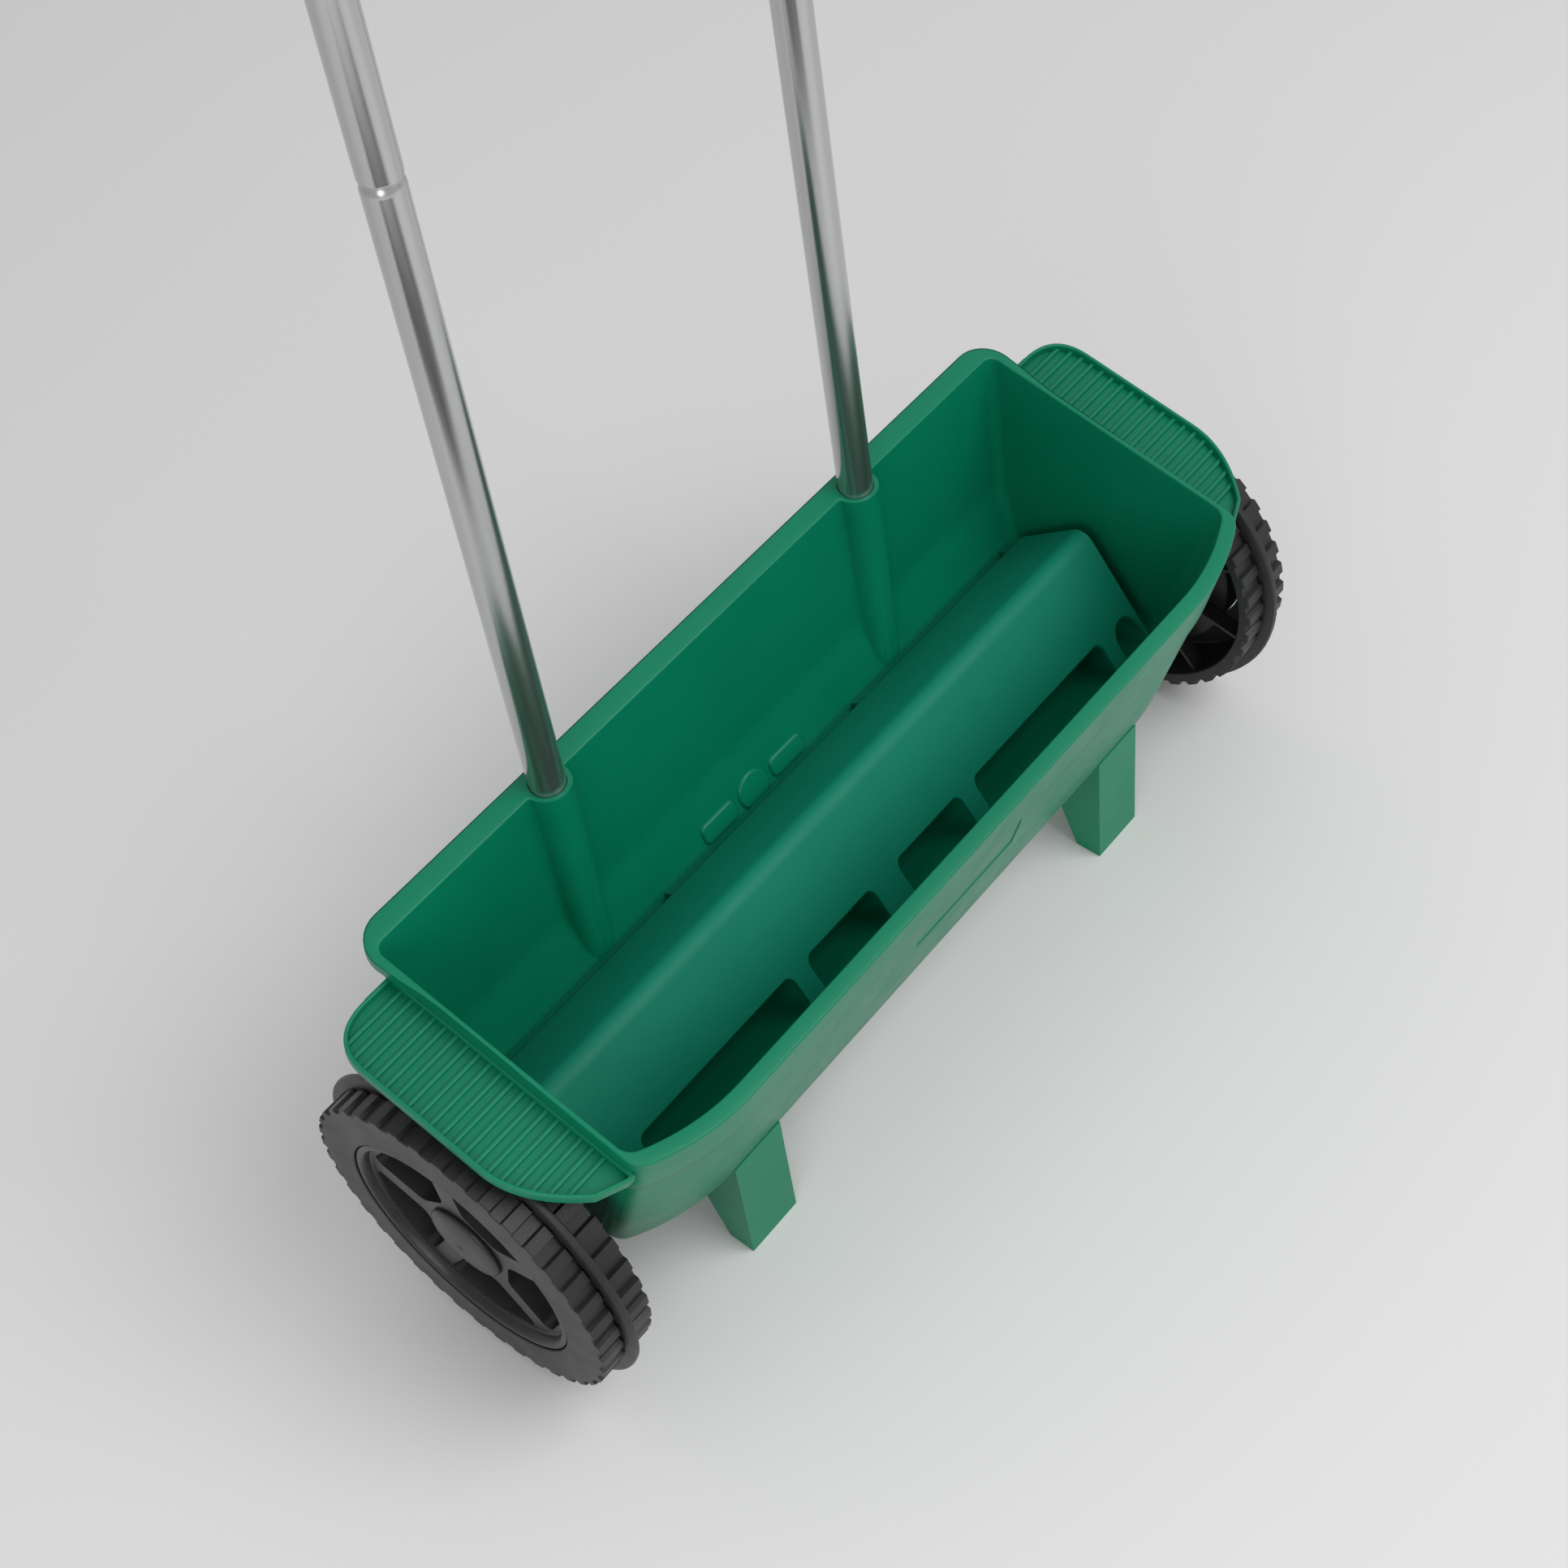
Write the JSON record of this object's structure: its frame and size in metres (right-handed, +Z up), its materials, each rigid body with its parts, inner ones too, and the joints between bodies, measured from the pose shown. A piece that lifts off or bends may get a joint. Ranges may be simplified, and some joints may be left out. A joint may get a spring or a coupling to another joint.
{
  "type": "garden spreader",
  "caption": "Push-along drop spreader: long tapered hopper on wheels and moulded legs, agitator under a loose cover, metering slide with a flow lever, side trays, bright bow handle.",
  "frame": {"origin": "on the ground under the middle of the spreader's bounding box", "axes": "+Z up, -Y to the front (the legs and the bare plate), +X to the right of whoever stands behind the handle and pushes"},
  "size_m": [0.5878, 0.2076, 0.9149],
  "materials": {
    "hopper_plastic": "satin moulded polypropylene, green",
    "cover_plastic": "satin moulded polypropylene, a little darker green",
    "black_plastic": "moulded black plastic",
    "grip_foam": "soft black sleeve",
    "polished_tube": "bright polished tube",
    "zinc_steel": "zinc plated",
    "bush_nylon": "natural nylon"
  },
  "bodies": {
    "frame": {"hopper": "hopper_plastic", "agitator_cover": "cover_plastic", "slide_rail_front": "black_plastic", "slide_rail_rear": "black_plastic", "flow_lever_screw": "zinc_steel", "rail_screw_front_left": "zinc_steel", "rail_screw_front_middle": "zinc_steel", "rail_screw_front_right": "zinc_steel", "rail_screw_rear_left": "zinc_steel", "rail_screw_rear_middle": "zinc_steel", "rail_screw_rear_right": "zinc_steel", "axle_bush_left": "bush_nylon", "lower_tube_left": "polished_tube", "axle_bush_right": "bush_nylon", "lower_tube_right": "polished_tube", "handle_bow": "polished_tube", "handle_grip": "grip_foam"},
    "drive": {"axle": "zinc_steel", "wheel_drive_pin": "zinc_steel", "wheel_left": "black_plastic", "wheel_disc_left": "black_plastic", "agitator_left": "black_plastic", "agitator_pin_left": "zinc_steel", "inner_washer_left": "zinc_steel", "outer_washer_left": "zinc_steel", "hub_cap_left": "black_plastic", "agitator_right": "black_plastic", "agitator_pin_right": "zinc_steel", "inner_washer_right": "zinc_steel", "outer_washer_right": "zinc_steel", "hub_cap_right": "black_plastic"},
    "free_wheel": {"wheel_right": "black_plastic", "wheel_disc_right": "black_plastic"},
    "slide": {"metering_slide": "black_plastic"},
    "lever": {"flow_lever": "black_plastic"}
  },
  "joints": [
    {"name": "drive_spin", "type": "hinge", "parent": "frame", "child": "drive", "pos_m": [0, 0.00382, 0.1], "axis": [1, 0, 0], "continuous": true},
    {"name": "free_wheel_spin", "type": "hinge", "parent": "frame", "child": "free_wheel", "pos_m": [0, 0.00382, 0.1], "axis": [1, 0, 0], "continuous": true},
    {"name": "flow_lever_turn", "type": "hinge", "parent": "frame", "child": "lever", "pos_m": [0.002, 0.07107, 0.11082], "axis": [0, -0.9489, 0.3155], "range_deg": [0, 47.16]},
    {"name": "metering_slide_travel", "type": "slide", "parent": "frame", "child": "slide", "axis": [1, 0, 0], "range_m": [0, 0.024]}
  ],
  "couplings": [
    {"joint": "metering_slide_travel", "follows": "flow_lever_turn", "m_per_rad": 0.02916}
  ]
}
